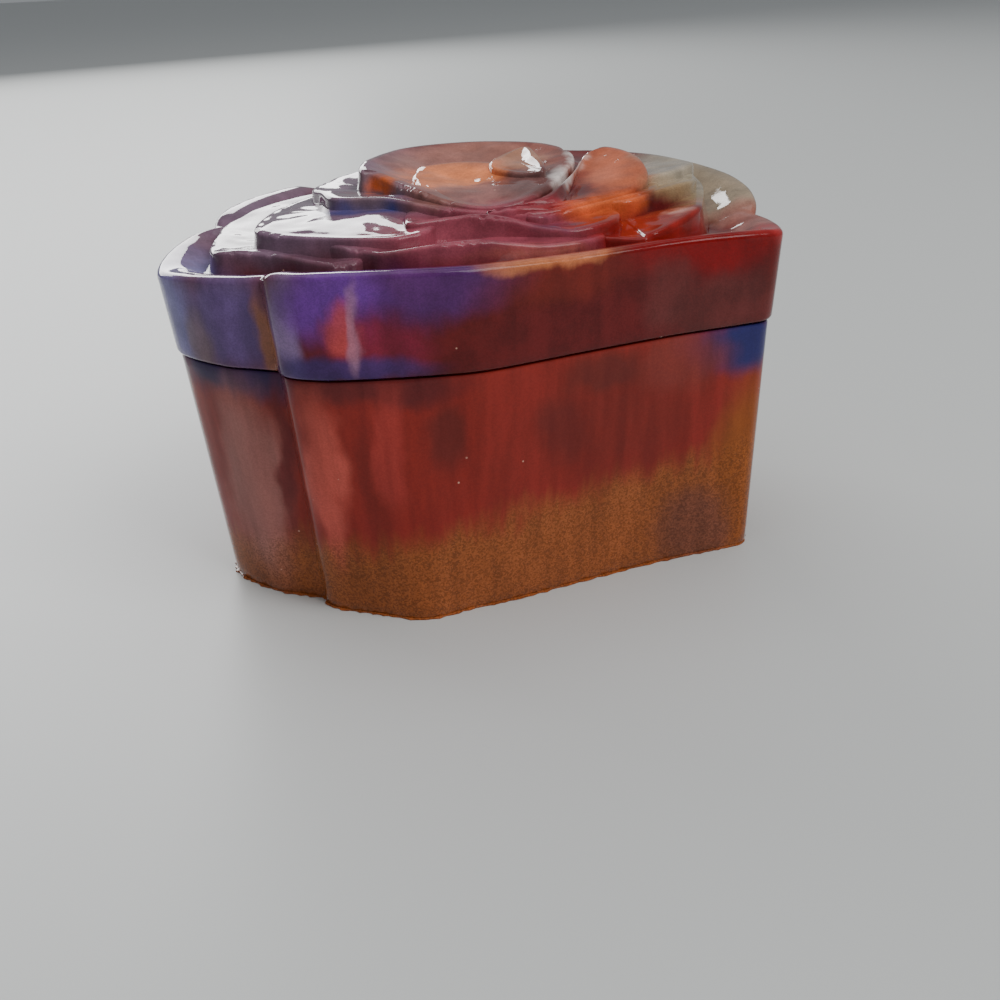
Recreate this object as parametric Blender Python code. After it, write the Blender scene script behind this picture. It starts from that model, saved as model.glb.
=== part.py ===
"""A cast-resin trinket box shaped like an open rose: a tapered open base and a lift-off lid.

Metres, +Z up. The origin is on the table under the middle of the box, +X is the box's right
and -Y its front. Plan points are in millimetres in the parting plane, where the lid meets the base.
"""
import math

import bmesh
import bpy
from mathutils import Vector

MM = 0.001

# driving dimensions, millimetres
BASE_TOP = 40.7             # top edge of the base wall
LID_BOTTOM = 41.0           # lower edge of the lid's skirt, one parting gap above the base
PARTING = 40.85             # middle of the parting gap; petal heights are measured from here
FLOOR = 5.0                 # thickness of the base's floor
LIP_HEIGHT = 3.0            # locating lip that stands above the base's wall
RECESS_DEPTH = 9.0          # how deep the lid is hollowed from below
EDGE = 0.6                  # rounding of the casting's edges
PETAL_FOOT = 10.5           # petals start inside the lid's plate, this far above the parting plane

# plan scales, as fractions of the outline's own size
BASE_TOP_SCALE = 0.988      # the base is a touch smaller than the skirt that overhangs it
CAVITY_SCALE = 0.895        # inner face of the base wall at its top
CAVITY_FLOOR_SCALE = 0.80   # the cavity's floor, so the wall keeps its thickness down the taper
LIP_SCALE = 0.940           # outer face of the locating lip
RECESS_SCALE = 0.952        # inner face of the skirt, clear of the lip
LID_FLARE = 1.030           # the lid widens toward its rim
FOOT_SCALE_X = 0.925        # the base narrows toward the table
FOOT_SCALE_Y = 0.910
FOOT_SHIFT_X = 0.6          # the foot sits a little to the right
FOOT_LIFT = 2.4             # and its front leans back under the rim
HEEL = 3.6                  # except at the rounded heel under the front petal
HEEL_X = -11.5
HEEL_WIDTH = 7.0
FRONT_Y = -12.0             # in front of this plan line the foot follows the front's own shape
FRONT_BLEND = 6.0           # and this is how gradually it does

EDGE_INSET = 0.008          # plan scale that the rounding of an edge takes off
CUTTER_SPARE = 1.0          # how far a cutting body runs past the face it opens
CREASE_ANGLE = 35.0         # faces that meet at more than this many degrees keep a crisp crease

# the outline's five overlapping petals, each (x, y, rim height); they meet in sharp grooves
OUTLINE = [
    # front petal, from the groove on the left round to the right corner
    [(-30.0, -41.6, 14.9), (-28.3, -45.2, 16.0), (-24.2, -47.5, 16.2), (-18.0, -48.5, 16.3),
     (-5.0, -48.1, 16.1), (3.0, -46.4, 15.9), (16.7, -39.6, 15.4), (31.1, -32.7, 15.4),
     (43.0, -28.3, 15.1), (47.2, -26.2, 14.8), (48.3, -22.0, 14.6), (48.0, -15.0, 14.4),
     (46.2, -10.0, 14.6)],
    # right back petal
    [(46.2, -10.0, 14.6), (47.2, -6.0, 16.2), (47.2, 3.0, 17.2), (44.8, 14.0, 17.9),
     (38.3, 29.0, 18.3), (31.0, 38.5, 17.7), (26.6, 40.8, 16.5)],
    # back petal
    [(26.6, 40.8, 16.5), (20.5, 45.2, 17.6), (8.0, 48.4, 18.0), (-6.0, 47.6, 17.7),
     (-17.5, 42.6, 17.2), (-25.0, 36.8, 16.9), (-29.2, 32.4, 15.2)],
    # left back petal
    [(-29.2, 32.4, 15.2), (-33.4, 28.6, 16.6), (-38.6, 18.5, 17.0), (-42.0, 8.0, 17.0),
     (-43.2, 1.0, 16.6), (-43.2, -3.0, 15.4)],
    # left petal, whose end tucks behind the front petal
    [(-43.2, -3.0, 15.4), (-46.8, -6.5, 14.8), (-48.6, -16.0, 14.2), (-48.2, -25.8, 13.6),
     (-45.2, -31.6, 13.8), (-38.7, -37.6, 14.3), (-34.0, -39.8, 14.5), (-30.0, -41.6, 14.9)],
]
OUTLINE_STEPS = 2           # straight pieces between two outline points

# rings of the lid's top inside the rim: plan scale, and drop below the rim
TOP_RINGS = ((0.990, 0.0), (0.965, 0.5), (0.90, 2.2))
TOP_MIDDLE = 13.2           # height of the hidden middle under the petals

# petals on the lid, lowest first: name, middle of the dished top, points of the rim, each (x, y, height)
PETALS = [
    ("right_low", (22.0, 0.0, 16.2), [
        (24.0, -31.6, 15.7), (28.4, -31.2, 16.3), (33.0, -27.4, 17.2), (36.8, -21.6, 18.0),
        (38.4, -14.0, 17.8), (40.4, 2.0, 18.2), (38.0, 18.0, 18.6), (28.5, 30.5, 18.6),
        (14.0, 38.0, 18.6), (-4.0, 38.5, 18.4), (-14.0, 20.0, 18.0), (4.0, -18.0, 16.5)]),
    ("left_low", (-30.0, -16.0, 15.5), [
        (-41.0, -25.2, 15.7), (-38.9, -27.9, 16.0), (-35.5, -28.5, 16.0), (-29.6, -32.0, 16.0),
        (-22.3, -38.4, 15.7), (-18.6, -38.9, 15.6), (-15.5, -35.5, 15.8), (-12.0, -14.0, 16.6),
        (-16.0, 20.0, 17.0), (-29.0, 21.0, 16.6), (-38.6, 10.0, 16.2), (-42.2, -1.5, 15.9),
        (-42.3, -12.0, 15.8), (-41.9, -20.0, 15.7)]),
    ("front_low", (0.0, -31.5, 16.2), [
        (-25.5, -28.5, 17.2), (-20.9, -33.3, 17.3), (-15.8, -37.0, 16.9), (-12.4, -39.6, 17.0),
        (-4.9, -39.5, 17.7), (1.8, -38.5, 17.8), (6.0, -37.4, 17.1), (10.8, -36.4, 16.3),
        (16.0, -35.0, 16.2), (19.6, -32.4, 16.2), (20.6, -28.0, 16.4), (14.0, -16.0, 17.0),
        (-12.0, -16.0, 17.4)]),
    ("right_mid", (24.0, 5.0, 18.6), [
        (24.0, -19.0, 19.2), (30.4, -14.0, 19.6), (34.5, -10.5, 19.9), (37.6, -7.5, 20.0),
        (38.9, -1.0, 19.8), (38.0, 12.0, 19.9), (32.0, 23.0, 20.0), (20.0, 32.0, 20.0),
        (4.0, 35.0, 19.8), (-6.0, 16.0, 19.4), (8.0, -12.0, 19.0)]),
    ("left_mid", (-21.0, -12.6, 19.0), [
        (-34.2, -22.4, 18.6), (-31.4, -27.6, 18.5), (-26.2, -31.0, 18.4), (-16.4, -34.4, 18.3),
        (-9.6, -34.8, 18.4), (-5.0, -28.0, 18.8), (-4.0, 8.0, 18.8), (-14.0, 22.0, 18.6),
        (-25.0, 13.0, 18.3), (-30.6, 4.0, 18.1), (-33.8, -7.5, 18.2)]),
    ("front_mid", (9.0, -21.5, 17.4), [
        (-9.8, -29.4, 19.5), (-3.5, -28.4, 19.6), (1.0, -27.8, 19.7), (6.0, -28.8, 19.0),
        (9.4, -30.2, 18.2), (12.8, -31.2, 17.7), (16.0, -31.4, 17.4), (19.6, -30.0, 17.6),
        (23.4, -26.5, 18.0), (22.4, -19.0, 18.2), (8.0, -12.0, 18.6), (-8.0, -14.0, 19.2)]),
    ("right_high", (26.5, 9.5, 19.8), [
        (24.0, -7.5, 20.8), (31.2, -6.5, 21.0), (36.6, -1.0, 21.1), (39.2, 3.6, 21.2),
        (38.4, 11.0, 20.8), (33.0, 21.0, 20.8), (22.0, 28.0, 21.0), (8.0, 30.0, 21.0),
        (6.0, 8.0, 20.6)]),
    ("right_fold", (19.5, -10.8, 18.8), [
        (9.0, -25.6, 18.9), (15.2, -23.8, 19.0), (20.4, -20.6, 19.3), (26.0, -16.8, 19.7),
        (30.4, -13.6, 19.9), (31.6, -5.0, 20.0), (28.0, 6.0, 20.2), (14.0, 10.0, 20.0),
        (2.0, -8.0, 19.6)]),
    ("bud_collar", (-4.0, -6.0, 19.9), [
        (-27.2, 1.5, 20.6), (-25.4, -4.8, 20.9), (-22.2, -12.8, 21.0), (-14.2, -15.2, 21.0),
        (-8.8, -19.8, 20.6), (-3.0, -22.8, 20.0), (2.6, -24.2, 19.5), (10.0, -25.4, 19.3),
        (18.0, -21.0, 19.6), (24.0, -8.0, 20.6), (20.0, 12.0, 21.4), (6.0, 23.0, 21.6),
        (-12.0, 23.0, 21.4), (-23.0, 13.0, 20.8)]),
    ("bud_fold", (15.0, -21.0, 19.8), [
        (2.6, -24.6, 19.7), (7.9, -25.2, 20.1), (14.0, -23.4, 19.6), (20.4, -19.6, 19.8),
        (26.4, -15.4, 20.3), (29.7, -10.6, 21.4), (29.6, -3.6, 23.2), (27.6, 3.4, 24.0),
        (24.0, 8.4, 24.2), (20.2, 5.0, 23.6), (17.8, -5.0, 22.5), (14.6, -14.6, 21.6),
        (10.6, -21.2, 20.6)]),
    ("bud", (-2.8, -2.0, 20.4), [
        (-18.2, -4.6, 24.0), (-16.2, -5.0, 23.5), (-13.8, -8.2, 22.8), (-11.1, -12.0, 22.3),
        (-8.4, -15.8, 22.0), (-3.6, -20.2, 20.8), (3.0, -22.4, 19.9), (9.4, -20.6, 20.6),
        (13.4, -14.0, 21.6), (16.6, -5.0, 22.6), (18.4, 6.0, 23.6), (14.0, 16.6, 24.2),
        (4.0, 22.0, 24.4), (-5.6, 22.0, 24.4), (-13.2, 17.2, 24.4), (-17.8, 6.5, 24.4),
        (-18.8, -0.5, 24.3)]),
    ("bud_heart", (1.0, -6.0, 20.8), [
        (-9.6, -4.0, 22.1), (-8.0, -11.6, 21.4), (-4.0, -18.0, 20.7), (3.0, -21.4, 19.9),
        (10.0, -18.8, 20.6), (14.0, -12.6, 21.6), (12.2, -5.2, 22.2), (9.2, 2.8, 22.8),
        (5.6, 4.2, 23.0), (-1.5, 7.4, 23.0), (-8.2, 5.6, 22.8), (-9.4, 1.5, 22.4)]),
    ("bud_tip", (8.6, 1.6, 23.0), [
        (4.8, -3.0, 22.9), (9.4, -7.0, 22.6), (12.9, -7.6, 23.4), (12.0, 5.0, 24.2),
        (10.3, 12.6, 24.4), (6.8, 8.6, 24.1), (3.6, 1.6, 23.5)]),
]
PETAL_STEPS = 2             # straight pieces between two petal points
PETAL_ROUND = 0.4           # the rim's rounding
PETAL_TOP = (0.035, 0.2, 0.5)   # rings of a petal's top, as shares of the way to its middle

# resin colours: linear red, green, blue
BASE_RED = (0.20, 0.028, 0.020)
LID_MAROON = (0.12, 0.020, 0.030)
RESIN_ROUGHNESS = 0.12


def clear_objects():
    """Remove every object that is already in the file."""
    for old in list(bpy.data.objects):
        bpy.data.objects.remove(old, do_unlink=True)


def new_collection(name):
    """Make a collection and link it under the scene."""
    made = bpy.data.collections.new(name)
    bpy.context.scene.collection.children.link(made)
    return made


def resin(name, colour):
    """Glossy cast resin."""
    made = bpy.data.materials.new(name)
    made.use_nodes = True
    shader = made.node_tree.nodes["Principled BSDF"]
    shader.inputs["Base Color"].default_value = (*colour, 1.0)
    shader.inputs["Roughness"].default_value = RESIN_ROUGHNESS
    shader.inputs["Metallic"].default_value = 0.0
    return made


def spline(points, steps, closed):
    """Catmull-Rom curve through the points; an open one keeps both of its end points."""
    if closed:
        around = [points[-1], *points, points[0], points[1]]
    else:
        around = [points[0], *points, points[-1]]
    spans = len(points) if closed else len(points) - 1
    curve = []
    for span in range(spans):
        before, start, end, after = (Vector(around[span + k]) for k in range(4))
        for step in range(steps):
            t = step / steps
            curve.append(0.5 * (2 * start + (end - before) * t
                                + (2 * before - 5 * start + 4 * end - after) * t ** 2
                                + (3 * start - before - 3 * end + after) * t ** 3))
    return curve


def outline():
    """The box's outline: each petal is a smooth curve, and neighbours meet in a sharp groove."""
    points = []
    for petal in OUTLINE:
        points += spline(petal, OUTLINE_STEPS, closed=False)
    return points


def ring(points, scale, height):
    """A level ring: the points scaled about the box's axis."""
    return [(p.x * scale * MM, p.y * scale * MM, height * MM) for p in points]


def foot_ring(points, scale, height):
    """A level ring of the base's foot, which narrows, leans back and bulges at the heel."""
    placed = []
    for p in points:
        front = 1.0 / (1.0 + math.exp((p.y - FRONT_Y) / FRONT_BLEND))
        heel = HEEL * math.exp(-((p.x - HEEL_X) / HEEL_WIDTH) ** 2) * front
        x = FOOT_SCALE_X * p.x + FOOT_SHIFT_X
        y = FOOT_SCALE_Y * p.y + FOOT_LIFT * front - heel
        placed.append((x * scale * MM, y * scale * MM, height * MM))
    return placed


def between(low, high, share):
    """The ring that lies the given share of the way from the low ring to the high one."""
    return [tuple(a + (b - a) * share for a, b in zip(p, q)) for p, q in zip(low, high)]


def loft(name, rings, collection, middle=None):
    """One closed body through rings of equal count, lowest first; middle tops it with a fan."""
    body = bmesh.new()
    loops = [[body.verts.new(co) for co in points] for points in rings]
    count = len(loops[0])
    for low, high in zip(loops, loops[1:]):
        for i in range(count):
            j = (i + 1) % count
            body.faces.new((low[i], low[j], high[j], high[i]))
    body.faces.new(list(reversed(loops[0])))
    if middle is None:
        body.faces.new(loops[-1])
    else:
        top = body.verts.new(middle)
        for i in range(count):
            body.faces.new((loops[-1][i], loops[-1][(i + 1) % count], top))
    bmesh.ops.triangulate(body, faces=body.faces[:])
    bmesh.ops.recalc_face_normals(body, faces=body.faces[:])
    mesh = bpy.data.meshes.new(name)
    body.to_mesh(mesh)
    body.free()
    made = bpy.data.objects.new(name, mesh)
    collection.objects.link(made)
    return made


def combine(target, other, operation):
    """Cut or join with a Boolean modifier, and keep the other body as a hidden wire guide."""
    step = target.modifiers.new(f"{operation.lower()}_{other.name}", "BOOLEAN")
    step.operation = operation
    step.object = other
    step.solver = "EXACT"
    other.hide_render = True
    other.display_type = "WIRE"


def shade(made, material):
    """Give a finished body its material and smooth shading with crisp creases."""
    made.data.materials.append(material)
    made.data.shade_smooth()
    made.data.set_sharp_from_angle(angle=math.radians(CREASE_ANGLE))


def make_base(points, parts, cutters):
    """The tapered open base with its raised locating lip."""
    top = ring(points, BASE_TOP_SCALE, BASE_TOP)
    foot = foot_ring(points, 1.0, 0.0)
    lip_foot = ring(points, LIP_SCALE, BASE_TOP)
    lip_top = ring(points, LIP_SCALE, BASE_TOP + LIP_HEIGHT)
    rings = [foot, between(foot, top, 0.5), ring(points, BASE_TOP_SCALE, BASE_TOP - EDGE),
             ring(points, BASE_TOP_SCALE - EDGE_INSET, BASE_TOP), lip_foot, lip_top]
    base = loft("box_base", rings, parts)
    cavity = loft("base_cavity", [
        foot_ring(points, CAVITY_FLOOR_SCALE, FLOOR),
        ring(points, CAVITY_SCALE, BASE_TOP),
        ring(points, CAVITY_SCALE, BASE_TOP + LIP_HEIGHT + CUTTER_SPARE)], cutters)
    combine(base, cavity, "DIFFERENCE")
    return base


def make_petal(name, middle, points, cutters):
    """One petal: a steep wall up to a rim of varying height, and a top that dishes to its middle."""
    rim = spline(points, PETAL_STEPS, closed=True)
    middle = Vector(middle)
    foot = [(p.x * MM, p.y * MM, (PARTING + PETAL_FOOT) * MM) for p in rim]
    edge = [(p.x * MM, p.y * MM, (PARTING + p.z - PETAL_ROUND) * MM) for p in rim]
    rings = [foot, edge]
    for share in PETAL_TOP:
        sink = 1.0 - (1.0 - share) ** 2
        ring_points = []
        for p in rim:
            q = p.lerp(middle, share)
            ring_points.append((q.x * MM, q.y * MM, (PARTING + p.z + (middle.z - p.z) * sink) * MM))
        rings.append(ring_points)
    tip = (middle.x * MM, middle.y * MM, (PARTING + middle.z) * MM)
    return loft(name, rings, cutters, tip)


def make_lid(points, parts, cutters):
    """The lift-off lid: a flared skirt, a hollow underside and the petals that climb to the bud."""
    rim = [(p.x * LID_FLARE * MM, p.y * LID_FLARE * MM, (PARTING + p.z - EDGE) * MM) for p in points]
    rings = [ring(points, 1.0 - EDGE_INSET, LID_BOTTOM), ring(points, 1.0, LID_BOTTOM + EDGE), rim]
    for scale, drop in TOP_RINGS:
        reach = scale * LID_FLARE
        rings.append([(p.x * reach * MM, p.y * reach * MM, (PARTING + p.z - drop) * MM) for p in points])
    lid = loft("rose_lid", rings, parts, (0.0, 0.0, (PARTING + TOP_MIDDLE) * MM))
    for name, middle, rim_points in PETALS:
        combine(lid, make_petal(f"petal_{name}", middle, rim_points, cutters), "UNION")
    recess = loft("lid_recess", [
        ring(points, RECESS_SCALE, LID_BOTTOM - CUTTER_SPARE),
        ring(points, RECESS_SCALE, LID_BOTTOM),
        ring(points, RECESS_SCALE, LID_BOTTOM + RECESS_DEPTH)], cutters)
    combine(lid, recess, "DIFFERENCE")
    return lid


def main():
    clear_objects()
    parts = new_collection("rose_trinket_box")
    cutters = new_collection("cutters")
    points = outline()
    shade(make_base(points, parts, cutters), resin("red_copper_resin", BASE_RED))
    shade(make_lid(points, parts, cutters), resin("maroon_violet_resin", LID_MAROON))


main()
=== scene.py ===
import math

import bmesh
import bpy
from mathutils import Matrix, Vector, noise


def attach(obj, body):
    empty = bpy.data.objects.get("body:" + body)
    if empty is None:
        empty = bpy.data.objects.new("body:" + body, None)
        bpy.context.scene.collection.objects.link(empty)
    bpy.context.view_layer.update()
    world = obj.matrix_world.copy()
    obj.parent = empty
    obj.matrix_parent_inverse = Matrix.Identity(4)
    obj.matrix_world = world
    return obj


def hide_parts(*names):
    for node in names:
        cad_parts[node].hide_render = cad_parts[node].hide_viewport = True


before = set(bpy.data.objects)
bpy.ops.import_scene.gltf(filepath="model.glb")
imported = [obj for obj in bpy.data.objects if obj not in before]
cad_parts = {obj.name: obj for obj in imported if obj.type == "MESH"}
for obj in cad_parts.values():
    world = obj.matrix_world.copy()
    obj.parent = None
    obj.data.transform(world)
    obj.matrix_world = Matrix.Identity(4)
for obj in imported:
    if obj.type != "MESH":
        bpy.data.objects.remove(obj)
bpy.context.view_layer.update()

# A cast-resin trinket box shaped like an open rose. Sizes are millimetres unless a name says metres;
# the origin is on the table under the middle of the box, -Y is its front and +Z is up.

MM = 0.001

BASE_TOP = 40.7             # top edge of the base wall
LID_BOTTOM = 41.0           # lower edge of the lid's skirt
PARTING = 40.85             # middle of the gap between them; petal heights are measured from here
FLOOR = 5.0                 # thickness of the base's floor
LIP_HEIGHT = 3.0            # locating lip above the base's wall
RECESS_DEPTH = 9.0          # how deep the lid is hollowed from below

# plan scales, as fractions of the outline's own size
BASE_TOP_SCALE = 0.988
CAVITY_SCALE = 0.895        # inner face of the base wall at its top
CAVITY_FLOOR_SCALE = 0.80
LIP_SCALE = 0.940           # outer face of the locating lip
RECESS_SCALE = 0.952        # inner face of the skirt
LID_FLARE = 1.028           # the lid widens toward its rim
FOOT_SCALE_X = 0.925        # the base narrows toward the table
FOOT_SCALE_Y = 0.910
FOOT_SHIFT_X = 0.6          # the foot sits a little to the right
FOOT_LIFT = 2.4             # and its front leans back under the rim
HEEL = 3.6                  # except at the rounded heel under the front petal
HEEL_X = -11.5
HEEL_WIDTH = 7.0
FRONT_Y = -12.0             # in front of this plan line the foot follows the front's own shape
FRONT_BLEND = 6.0           # and this is how gradually it does

# the outline's five overlapping petals, each (x, y, rim height above the parting plane)
OUTLINE = [
    # front petal, from the groove on the left round to the right corner
    [(-30.0, -41.6, 14.9), (-28.3, -45.2, 16.0), (-24.2, -47.5, 16.2), (-18.0, -48.5, 16.3),
     (-5.0, -48.1, 16.1), (3.0, -46.4, 15.9), (16.7, -39.6, 15.4), (31.1, -32.7, 15.4),
     (43.0, -28.3, 15.1), (47.2, -26.2, 14.8), (48.3, -22.0, 14.6), (48.0, -15.0, 14.4),
     (46.2, -10.0, 14.6)],
    # right back petal
    [(46.2, -10.0, 14.6), (47.2, -6.0, 16.2), (47.2, 3.0, 17.2), (44.8, 14.0, 17.9),
     (38.3, 29.0, 18.3), (31.0, 38.5, 17.7), (26.6, 40.8, 16.5)],
    # back petal
    [(26.6, 40.8, 16.5), (20.5, 45.2, 17.6), (8.0, 48.4, 18.0), (-6.0, 47.6, 17.7),
     (-17.5, 42.6, 17.2), (-25.0, 36.8, 16.9), (-29.2, 32.4, 15.2)],
    # left back petal
    [(-29.2, 32.4, 15.2), (-33.4, 28.6, 16.6), (-38.6, 18.5, 17.0), (-42.0, 8.0, 17.0),
     (-43.2, 1.0, 16.6), (-43.2, -3.0, 15.4)],
    # left petal, whose end tucks behind the front petal
    [(-43.2, -3.0, 15.4), (-46.8, -6.5, 14.8), (-48.6, -16.0, 14.2), (-48.2, -25.8, 13.6),
     (-45.2, -31.6, 13.8), (-38.7, -37.6, 14.3), (-34.0, -39.8, 14.5), (-30.0, -41.6, 14.9)],
]
OUTLINE_STEPS = 12          # straight pieces between two outline points
TOP_MIDDLE = 13.2           # height of the hidden middle under the petals

# petals on the lid, lowest first: name, middle of the dished top, points of the rim, each (x, y, height)
PETALS = [
    ("right_low", (22.0, 0.0, 16.2), [
        (24.0, -31.6, 15.7), (28.4, -31.2, 16.3), (33.0, -27.4, 17.2), (36.8, -21.6, 18.0),
        (38.4, -14.0, 17.8), (40.4, 2.0, 18.2), (38.0, 18.0, 18.6), (28.5, 30.5, 18.6),
        (14.0, 38.0, 18.6), (-4.0, 38.5, 18.4), (-14.0, 20.0, 18.0), (4.0, -18.0, 16.5)]),
    ("left_low", (-30.0, -16.0, 14.9), [
        (-41.0, -25.2, 15.7), (-38.9, -27.9, 16.0), (-35.5, -28.5, 16.0), (-29.6, -32.0, 16.0),
        (-22.3, -38.4, 15.7), (-18.6, -38.9, 15.6), (-15.5, -35.5, 15.8), (-12.0, -14.0, 16.6),
        (-16.0, 20.0, 17.0), (-29.0, 21.0, 16.6), (-38.6, 10.0, 16.2), (-42.2, -1.5, 15.9),
        (-42.3, -12.0, 15.8), (-41.9, -20.0, 15.7)]),
    ("front_low", (0.0, -31.5, 16.2), [
        (-25.5, -28.5, 17.2), (-20.9, -33.3, 17.3), (-15.8, -37.0, 16.9), (-12.4, -39.6, 17.0),
        (-4.9, -39.5, 17.7), (1.8, -38.5, 17.8), (6.0, -37.4, 17.1), (10.8, -36.4, 16.3),
        (16.0, -35.0, 16.2), (19.6, -32.4, 16.2), (20.6, -28.0, 16.4), (14.0, -16.0, 17.0),
        (-12.0, -16.0, 17.4)]),
    ("right_mid", (24.0, 5.0, 18.6), [
        (24.0, -19.0, 19.2), (30.4, -14.0, 19.6), (34.5, -10.5, 19.9), (37.6, -7.5, 20.0),
        (38.9, -1.0, 19.8), (38.0, 12.0, 19.9), (32.0, 23.0, 20.0), (20.0, 32.0, 20.0),
        (4.0, 35.0, 19.8), (-6.0, 16.0, 19.4), (8.0, -12.0, 19.0)]),
    ("left_mid", (-21.0, -12.6, 19.0), [
        (-34.2, -22.4, 18.6), (-31.4, -27.6, 18.5), (-26.2, -31.0, 18.4), (-16.4, -34.4, 18.3),
        (-9.6, -34.8, 18.4), (-5.0, -28.0, 18.8), (-4.0, 8.0, 18.8), (-14.0, 22.0, 18.6),
        (-25.0, 13.0, 18.3), (-30.6, 4.0, 18.1), (-33.8, -7.5, 18.2)]),
    ("front_mid", (9.0, -21.5, 17.4), [
        (-9.8, -29.4, 19.5), (-3.5, -28.4, 19.6), (1.0, -27.8, 19.7), (6.0, -28.8, 19.0),
        (9.4, -30.2, 18.2), (12.8, -31.2, 17.7), (16.0, -31.4, 17.4), (19.6, -30.0, 17.6),
        (23.4, -26.5, 18.0), (22.4, -19.0, 18.2), (8.0, -12.0, 18.6), (-8.0, -14.0, 19.2)]),
    ("right_high", (26.5, 9.5, 19.8), [
        (24.0, -7.5, 20.8), (31.2, -6.5, 21.0), (36.6, -1.0, 21.1), (39.2, 3.6, 21.2),
        (38.4, 11.0, 20.8), (33.0, 21.0, 20.8), (22.0, 28.0, 21.0), (8.0, 30.0, 21.0),
        (6.0, 8.0, 20.6)]),
    ("right_fold", (19.5, -10.8, 18.8), [
        (9.0, -25.6, 18.9), (15.2, -23.8, 19.0), (20.4, -20.6, 19.3), (26.0, -16.8, 19.7),
        (30.4, -13.6, 19.9), (31.6, -5.0, 20.0), (28.0, 6.0, 20.2), (14.0, 10.0, 20.0),
        (2.0, -8.0, 19.6)]),
    ("bud_collar", (-4.0, -6.0, 19.9), [
        (-27.2, 1.5, 20.6), (-25.4, -4.8, 20.9), (-22.2, -12.8, 21.0), (-14.2, -15.2, 21.0),
        (-8.8, -19.8, 20.6), (-3.0, -22.8, 20.0), (2.6, -24.2, 19.5), (10.0, -25.4, 19.3),
        (18.0, -21.0, 19.6), (24.0, -8.0, 20.6), (20.0, 12.0, 21.4), (6.0, 23.0, 21.6),
        (-12.0, 23.0, 21.4), (-23.0, 13.0, 20.8)]),
    ("bud_fold", (15.0, -21.0, 19.8), [
        (2.6, -24.6, 19.7), (7.9, -25.2, 20.1), (14.0, -23.4, 19.6), (20.4, -19.6, 19.8),
        (26.4, -15.4, 20.3), (29.7, -10.6, 21.4), (29.6, -3.6, 23.2), (27.6, 3.4, 24.0),
        (24.0, 8.4, 24.2), (20.2, 5.0, 23.6), (17.8, -5.0, 22.5), (14.6, -14.6, 21.6),
        (10.6, -21.2, 20.6)]),
    ("bud", (-2.8, -2.0, 19.8), [
        (-18.2, -4.6, 24.0), (-16.2, -5.0, 23.5), (-13.8, -8.2, 22.8), (-11.1, -12.0, 22.3),
        (-8.4, -15.8, 22.0), (-3.6, -20.2, 20.8), (3.0, -22.4, 19.9), (9.4, -20.6, 20.6),
        (13.4, -14.0, 21.6), (16.6, -5.0, 22.6), (18.4, 6.0, 23.6), (14.0, 16.6, 24.2),
        (4.0, 22.0, 24.4), (-5.6, 22.0, 24.4), (-13.2, 17.2, 24.4), (-17.8, 6.5, 24.4),
        (-18.8, -0.5, 24.3)]),
    ("bud_heart", (1.0, -6.0, 20.8), [
        (-9.6, -4.0, 22.1), (-8.0, -11.6, 21.4), (-4.0, -18.0, 20.7), (3.0, -21.4, 19.9),
        (10.0, -18.8, 20.6), (14.0, -12.6, 21.6), (12.2, -5.2, 22.2), (9.2, 2.8, 22.8),
        (5.6, 4.2, 23.0), (-1.5, 7.4, 23.0), (-8.2, 5.6, 22.8), (-9.4, 1.5, 22.4)]),
    ("bud_tip", (8.6, 1.6, 23.0), [
        (4.8, -3.0, 22.9), (9.4, -7.0, 22.6), (12.9, -7.6, 23.4), (12.0, 5.0, 24.2),
        (10.3, 12.6, 24.4), (6.8, 8.6, 24.1), (3.6, 1.6, 23.5)]),
]
PETAL_STEPS = 12            # straight pieces between two petal points
PETAL_SHRINK = 0.994        # keeps the smooth curves' crests inside the frame's own box


# ---------------------------------------------------------------- shapes

CREASE_ANGLE = 40.0         # faces that meet at more than this many degrees keep a crisp crease


def spline(points, steps, closed):
    """Catmull-Rom curve through the points; an open one keeps both of its end points."""
    if closed:
        around = [points[-1], *points, points[0], points[1]]
    else:
        around = [points[0], *points, points[-1]]
    spans = len(points) if closed else len(points) - 1
    curve = []
    for span in range(spans):
        before, start, end, after = (Vector(around[span + k]) for k in range(4))
        for step in range(steps):
            t = step / steps
            curve.append(0.5 * (2 * start + (end - before) * t
                                + (2 * before - 5 * start + 4 * end - after) * t ** 2
                                + (3 * start - before - 3 * end + after) * t ** 3))
    return curve


def outline():
    """The box's outline: each petal is a smooth curve, and neighbours meet in a groove."""
    points = []
    for petal in OUTLINE:
        points += spline(petal, OUTLINE_STEPS, closed=False)
    return points


def inward(points):
    """The plan direction that points into the loop at each of its points."""
    count = len(points)
    directions = []
    for i, p in enumerate(points):
        along = points[(i + 1) % count] - points[i - 1]
        directions.append(Vector((-along.y, along.x, 0.0)).normalized())
    return directions


def level(points, scale, height):
    """A level ring: the points scaled about the box's axis."""
    return [Vector((p.x * scale, p.y * scale, height)) for p in points]


def foot_level(points, scale, height):
    """A level ring of the base's foot, which narrows, leans back and bulges at the heel."""
    placed = []
    for p in points:
        front = 1.0 / (1.0 + math.exp((p.y - FRONT_Y) / FRONT_BLEND))
        heel = HEEL * math.exp(-((p.x - HEEL_X) / HEEL_WIDTH) ** 2) * front
        x = FOOT_SCALE_X * p.x + FOOT_SHIFT_X
        y = FOOT_SCALE_Y * p.y + FOOT_LIFT * front - heel
        placed.append(Vector((x * scale, y * scale, height)))
    return placed


def between(low, high, share):
    """The ring that lies the given share of the way from the low ring to the high one."""
    return [p.lerp(q, share) for p, q in zip(low, high)]


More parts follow.
